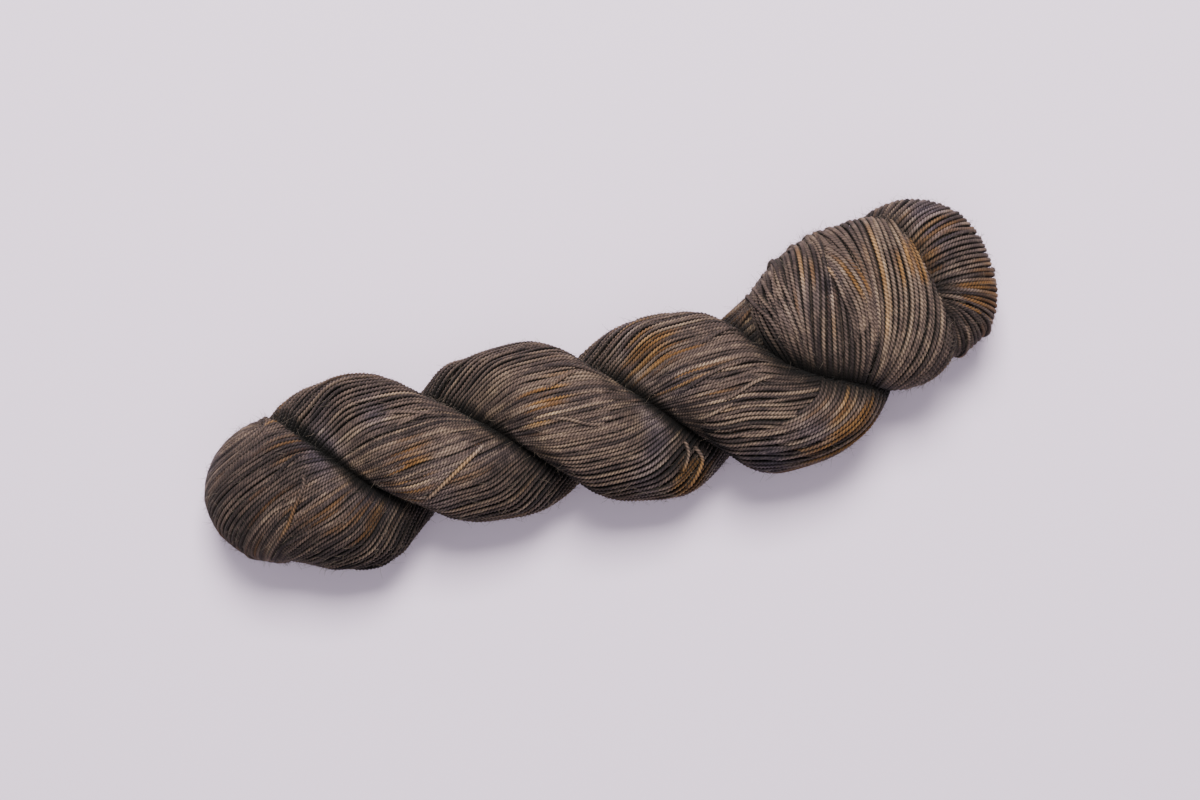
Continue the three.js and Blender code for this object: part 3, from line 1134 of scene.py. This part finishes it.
def add_node(tree, kind, inputs, output=0, **settings):
    """A new node's output. Its inputs are set to values, or linked where those are sockets."""
    node = tree.nodes.new("ShaderNode" + kind)
    for key, value in settings.items():
        setattr(node, key, value)
    for key, value in inputs.items():
        if isinstance(value, bpy.types.NodeSocket):
            tree.links.new(value, node.inputs[key])
        else:
            node.inputs[key].default_value = value
    return None if output is None else node.outputs[output]


def attribute(tree, name):
    return add_node(tree, "Attribute", {}, "Fac", attribute_name=name)


def object_place(tree):
    return add_node(tree, "TexCoord", {}, "Object")


def maths(tree, operation, *values):
    return add_node(tree, "Math", dict(enumerate(values)), operation=operation)


def noise(tree, vector, scale, detail=2.0, rough=0.5):
    inputs = {"Vector": vector, "Scale": scale, "Detail": detail, "Roughness": rough}
    return add_node(tree, "TexNoise", inputs, "Fac")


def combine(tree, *values):
    return add_node(tree, "CombineXYZ", dict(enumerate(values)))


def map_range(tree, value, low, high):
    inputs = {"Value": value, "From Min": low, "From Max": high}
    return add_node(tree, "MapRange", inputs, "Result", interpolation_type="SMOOTHSTEP")


def ramp(tree, value, stops):
    result = add_node(tree, "ValToRGB", {0: value})
    elements = result.node.color_ramp.elements
    while len(elements) < len(stops):
        elements.new(1.0)
    for element, (place, colour) in zip(elements, stops):
        element.position = place
        element.color = (*colour, 1.0)
    return result


def mix(tree, share, a, b, blend="MIX"):
    inputs = {"Factor": share, MIX_A: a, MIX_B: b}
    return add_node(tree, "Mix", inputs, MIX_RESULT, data_type="RGBA", blend_type=blend)


def near_places(tree, place, places):
    """How much of something there is: each place's own amount in its middle, and 0 outside them."""
    total = 0.0
    for x, y, z, reach, amount in places:
        inputs = {0: place, 1: (x * MM, y * MM, z * MM)}
        away = add_node(tree, "VectorMath", inputs, "Value", operation="DISTANCE")
        near = map_range(tree, away, reach * MM, PLACE_CORE * reach * MM)
        total = maths(tree, "MULTIPLY_ADD", near, amount, total)
    return total


def dye_and_painted_light(tree):
    """Charcoal, taupe and grey that change along each strand, with golden and cooler lengths,
    multiplied by the painted highlights and painted shade of the light attribute.
    """
    place = object_place(tree)
    along, strand, light = (attribute(tree, name) for name in ("along", "strand", "light"))
    apart = maths(tree, "MULTIPLY", strand, 40.0)
    own = combine(tree, along, apart, 0.0)
    value = maths(tree, "MULTIPLY", noise(tree, place, 30.0), 0.25)
    value = maths(tree, "MULTIPLY_ADD", noise(tree, own, 38.0, 3.0, 0.65), 0.7, value)
    value = maths(tree, "MULTIPLY_ADD", noise(tree, own, 330.0), 0.3, value)
    value = maths(tree, "MULTIPLY_ADD", strand, 0.2, value)
    value = maths(tree, "SUBTRACT", value, near_places(tree, place, DARK_PLACES))
    value = maths(tree, "SUBTRACT", value, 0.235)
    gold = noise(tree, combine(tree, along, apart, 3.0), 30.0, 1.0)
    gold = maths(tree, "MULTIPLY_ADD", noise(tree, place, 22.0, 1.0), 0.9, gold)
    gold = maths(tree, "ADD", near_places(tree, place, GOLD_PLACES), gold)
    gold = map_range(tree, gold, *GOLDEN_FROM)
    colour = mix(tree, gold, ramp(tree, value, NEUTRAL_STOPS), ramp(tree, value, GOLDEN_STOPS))
    cool = noise(tree, place, 27.0, 1.0)
    cool = maths(tree, "ADD", near_places(tree, place, COOL_PLACES), cool)
    cooler = mix(tree, map_range(tree, cool, *COOLER_FROM), WHITE, COOLER)
    colour = mix(tree, 1.0, colour, cooler, "MULTIPLY")
    # the painted highlights and painted shade of the light attribute multiply the dye's colour
    return mix(tree, 1.0, colour, combine(tree, light, light, light), "MULTIPLY")


def fibre_colour(tree):
    return ramp(tree, attribute(tree, "strand"), FIBRE_STOPS)


def below_colour(tree):
    return ramp(tree, noise(tree, object_place(tree), 300.0), BELOW_STOPS)


def core_colour(tree):
    return ramp(tree, noise(tree, object_place(tree), 900.0), CORE_STOPS)


# Stage.
IMAGE_TURN = math.radians(-14.7)  # the hank rises to the right
CAMERA = (-1.25, -0.35, 931.0)
LENS = 50.0
SENSOR = 23.5
FLOOR_WIDTH = 4.0  # metres
FLOOR_FINISH = {"Base Color": (0.82, 0.68, 0.84, 1.0), "Roughness": 0.8}
SKY_COLOUR = (0.94, 0.95, 1.0, 1.0)
SKY_STRENGTH = 0.45


def make_camera():
    data = bpy.data.cameras.new("camera")
    data.lens = LENS
    data.sensor_width = SENSOR
    camera = bpy.data.objects.new("camera", data)
    camera.location = [v * MM for v in CAMERA]
    camera.rotation_euler = (0, 0, IMAGE_TURN)
    bpy.context.scene.collection.objects.link(camera)
    bpy.context.scene.camera = camera


def area_light(name, azimuth_deg, height_deg, distance, size, watts, colour):
    """azimuth is from the top of the picture, clockwise seen from above. Metres here."""
    data = bpy.data.lights.new(name, "AREA")
    data.size = size
    data.energy = watts
    data.color = colour
    lamp = bpy.data.objects.new(name, data)
    turn = math.pi / 2 + IMAGE_TURN - math.radians(azimuth_deg)
    rise = math.radians(height_deg)
    way = Vector((math.cos(turn) * math.cos(rise), math.sin(turn) * math.cos(rise), math.sin(rise)))
    lamp.location = way * distance
    lamp.rotation_euler = way.to_track_quat("Z", "Y").to_euler()
    bpy.context.scene.collection.objects.link(lamp)


def make_stage():
    bpy.ops.mesh.primitive_plane_add(size=FLOOR_WIDTH)
    floor = bpy.context.active_object
    floor.name = "floor"
    floor.data.materials.append(new_material("pale_floor", FLOOR_FINISH))
    area_light("window", 0, 60, 1.5, 0.6, 48.0, (1.0, 0.98, 0.96))
    area_light("ceiling", 180, 70, 1.8, 1.6, 8.0, (0.97, 0.98, 1.0))
    world = bpy.data.worlds.new("studio")
    world.use_nodes = True
    background = world.node_tree.nodes["Background"]
    background.inputs["Color"].default_value = SKY_COLOUR
    background.inputs["Strength"].default_value = SKY_STRENGTH
    bpy.context.scene.world = world


def make_hank():
    """Every piece of the hank."""
    tree = solid_tree()
    yarn = new_material("hand_dyed_yarn_painted_light", YARN_FINISH, dye_and_painted_light)
    legs = [leg_family(0), leg_family(1)]
    band = cushion_family(
        BAND, BAND_ROWS, band_plan, BAND_SPACED_AT, slow_ends, BAND_SIZE, BAND_CROSSINGS
    )
    knob = cushion_family(
        KNOB, KNOB_ROWS, knob_plan, KNOB_SPACED_AT, slow_end, KNOB_SIZE, KNOB_CROSSINGS
    )
    band.light[:] *= light_near(band.points, legs)
    families = {
        "first_leg": (legs[0], 1.0),
        "second_leg": (legs[1], 1.0),
        "band": (band, BAND_SIZE),
        "knob": (knob, KNOB_SIZE),
        "neck": (neck_family(), 1.0),
    }
    pieces = [core_piece(new_material("yarn_in_shade", CORE_FINISH, core_colour))]
    outer, inner = [], []
    for name, (family, size) in families.items():
        is_leg = name.endswith("leg")
        shown, hidden = strands_of(family, tree, size, is_leg)
        outer += shown
        inner += hidden
        # in two, because a piece stays under 200,000 triangles
        if is_leg:  # in two, each with every other strand, so that the pieces are smaller
            pieces.append(strand_piece(name + "_odd", shown[::2], yarn))
            pieces.append(strand_piece(name + "_even", shown[1::2], yarn))
        else:
            pieces.append(strand_piece(name, shown, yarn))
    over, tones = all_laid_over(tree)
    pieces.append(strand_piece("strays", over, yarn, tones))
    below = new_material("yarn_below", YARN_FINISH, below_colour)
    pieces.append(tube_piece("inner_strands", inner, below))
    fibre = new_material("loose_fibre", YARN_FINISH, fibre_colour)
    pieces.append(tube_piece("loose_fibres", loose_fibres(outer), fibre))
    return pieces


make_camera()
make_stage()
for piece in make_hank():
    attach(piece, BODY)
    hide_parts(HANK_NODE)
